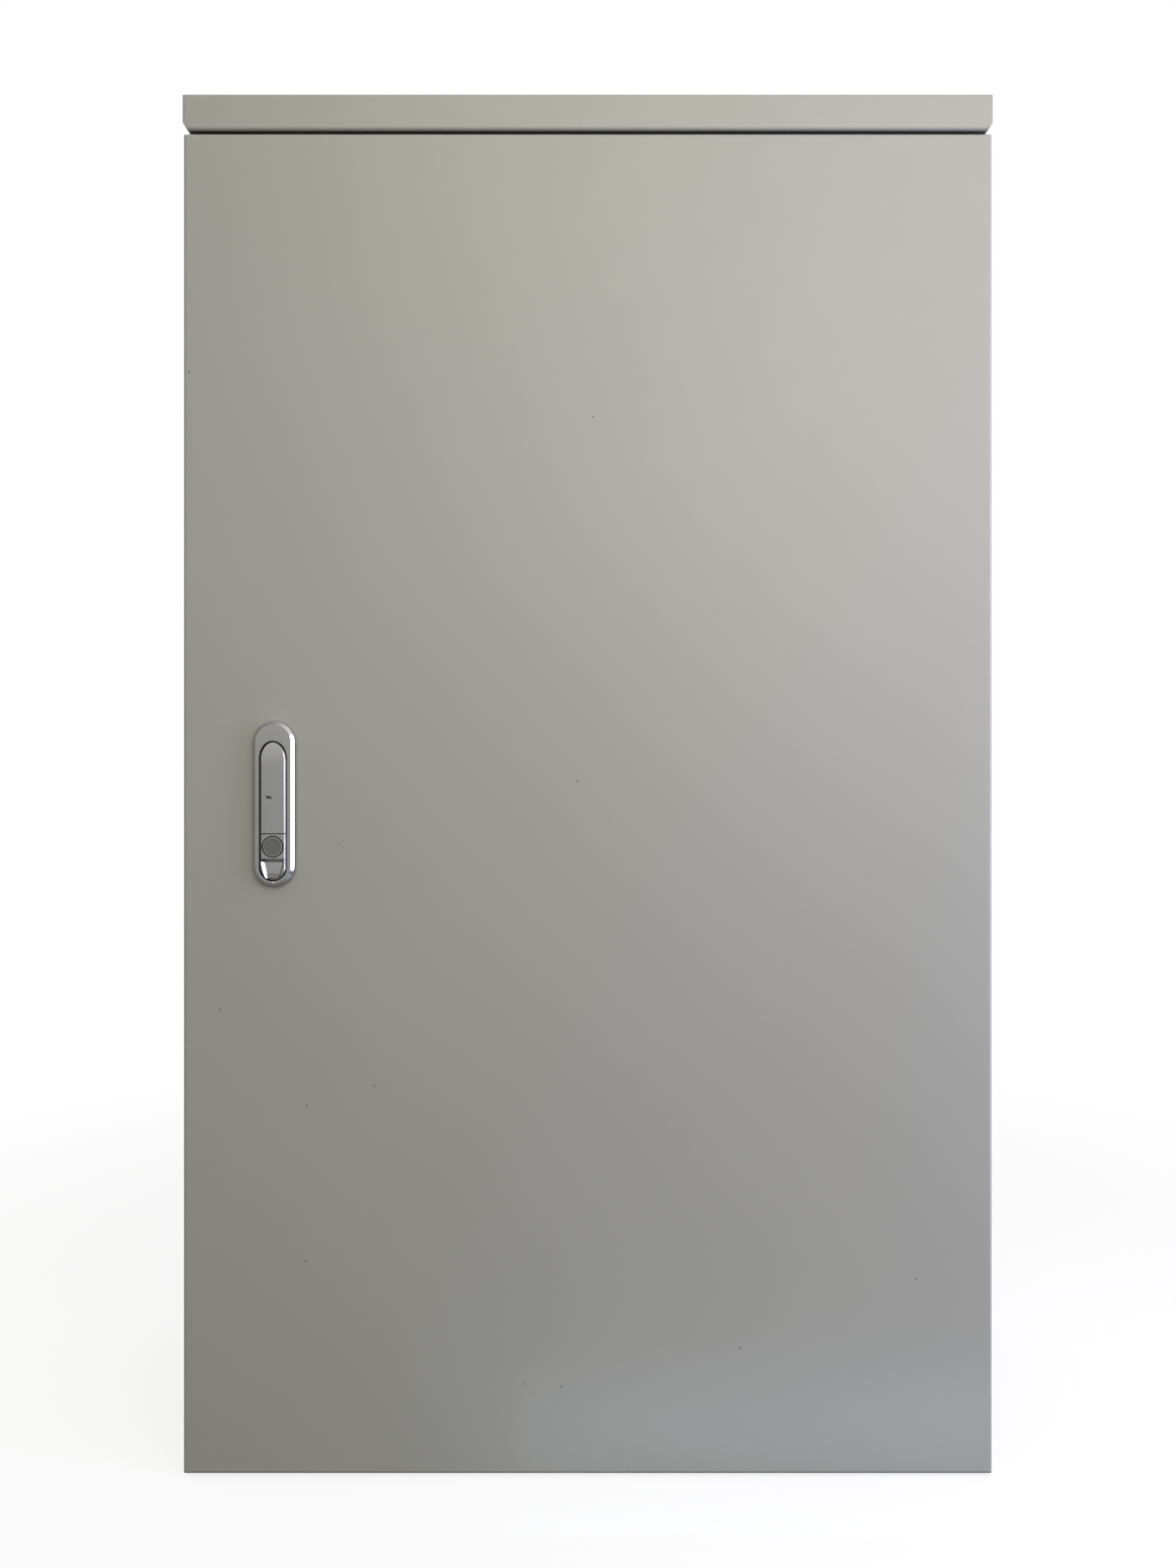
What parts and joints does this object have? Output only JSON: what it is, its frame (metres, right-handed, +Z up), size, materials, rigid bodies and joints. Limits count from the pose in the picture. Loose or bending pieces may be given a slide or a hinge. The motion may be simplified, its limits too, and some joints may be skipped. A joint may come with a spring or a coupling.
{
  "type": "distribution box",
  "caption": "Tall grey sheet-steel distribution box with a rain hood, a full-front hinged door, a flush lift-handle lock and switchgear on a mounting plate inside.",
  "frame": {"origin": "middle of the bounding box's bottom face", "axes": "+Z up, the door faces -Y, +X to the right as seen from the front, hinges at +X"},
  "size_m": [0.6, 0.2568, 1.0225],
  "materials": {
    "painted_steel": "semi-gloss fine-textured grey powder coat",
    "zinc_steel": "zinc plated",
    "lock_zinc": "satin chrome plated zinc casting",
    "lock_matt": "matt nickel",
    "black_steel": "black oxide",
    "foam": "closed-cell foam",
    "breaker_case": "moulded",
    "toggle_black": "moulded",
    "bar_brass": "plain",
    "bar_screw": "zinc plated",
    "insulator": "moulded"
  },
  "bodies": {
    "cabinet": {"back_panel": "painted_steel", "body_wrap": "painted_steel", "branch_breaker_1": "breaker_case", "branch_breaker_2": "breaker_case", "branch_breaker_3": "breaker_case", "din_rail": "zinc_steel", "earth_bar": "bar_brass", "earth_bar_screws": "bar_screw", "earth_nut": "zinc_steel", "earth_posts": "bar_brass", "earth_stud": "zinc_steel", "gland_gasket": "foam", "gland_nuts": "zinc_steel", "gland_plate": "zinc_steel", "gland_studs": "zinc_steel", "hinge_frame_leaf_lower": "zinc_steel", "hinge_frame_leaf_middle": "zinc_steel", "hinge_frame_leaf_upper": "zinc_steel", "hood_bolts": "zinc_steel", "hood_nuts": "zinc_steel", "main_breaker": "breaker_case", "main_screws": "zinc_steel", "mounting_plate": "zinc_steel", "neutral_bar": "bar_brass", "neutral_bar_screws": "bar_screw", "neutral_posts": "insulator", "plate_nuts": "zinc_steel", "plate_posts": "zinc_steel", "rail_screws": "zinc_steel", "rain_hood": "painted_steel"},
    "door": {"door_panel": "painted_steel", "door_gasket": "foam", "door_stiffener": "painted_steel", "door_earth_stud": "zinc_steel", "door_earth_nut": "zinc_steel", "lock_escutcheon": "lock_zinc", "handle_pin": "black_steel", "handle_spring": "black_steel", "button_spring": "black_steel", "lock_barrel": "lock_zinc", "barrel_nut": "zinc_steel", "lock_clamp_upper": "zinc_steel", "lock_clamp_lower": "zinc_steel", "lock_screw": "zinc_steel", "hinge_door_leaf_lower": "zinc_steel", "hinge_pin_lower": "zinc_steel", "hinge_door_leaf_middle": "zinc_steel", "hinge_pin_middle": "zinc_steel", "hinge_door_leaf_upper": "zinc_steel", "hinge_pin_upper": "zinc_steel"},
    "handle": {"lock_handle": "lock_zinc"},
    "button": {"push_button": "lock_zinc"},
    "cylinder": {"key_cylinder": "lock_zinc", "keyhole_shutter": "lock_matt", "lock_tongue": "zinc_steel", "tongue_nut": "zinc_steel"},
    "main_switch": {"main_toggle": "toggle_black"},
    "branch_switch_1": {"branch_toggle_1": "toggle_black"},
    "branch_switch_2": {"branch_toggle_2": "toggle_black"},
    "branch_switch_3": {"branch_toggle_3": "toggle_black"}
  },
  "joints": [
    {"name": "door_swing", "type": "hinge", "parent": "cabinet", "child": "door", "pos_m": [0.2915, -0.1096, 0.4975], "axis": [0, 0, 1], "range_deg": [0, 115]},
    {"name": "handle_lift", "type": "hinge", "parent": "door", "child": "handle", "pos_m": [-0.231, -0.1244, 0.5337], "axis": [-1, 0, 0], "range_deg": [0, 50]},
    {"name": "button_press", "type": "slide", "parent": "door", "child": "button", "axis": [0, 1, 0], "range_m": [0, 0.0025], "stiffness_N_per_m": 600, "springref_m": -0.002, "deforming": ["button_spring"]},
    {"name": "key_turn", "type": "hinge", "parent": "door", "child": "cylinder", "pos_m": [-0.231, -0.1216, 0.4661], "axis": [0, 1, 0], "range_deg": [0, 90]},
    {"name": "main_toggle_throw", "type": "hinge", "parent": "cabinet", "child": "main_switch", "pos_m": [0, 0.0319, 0.76275], "axis": [-1, 0, 0], "range_deg": [0, 44]},
    {"name": "branch_toggle_1_throw", "type": "hinge", "parent": "cabinet", "child": "branch_switch_1", "pos_m": [-0.0538, 0.0334, 0.54775], "axis": [-1, 0, 0], "range_deg": [0, 44]},
    {"name": "branch_toggle_2_throw", "type": "hinge", "parent": "cabinet", "child": "branch_switch_2", "pos_m": [0, 0.0334, 0.54775], "axis": [-1, 0, 0], "range_deg": [0, 44]},
    {"name": "branch_toggle_3_throw", "type": "hinge", "parent": "cabinet", "child": "branch_switch_3", "pos_m": [0.0538, 0.0334, 0.54775], "axis": [-1, 0, 0], "range_deg": [0, 44]}
  ]
}
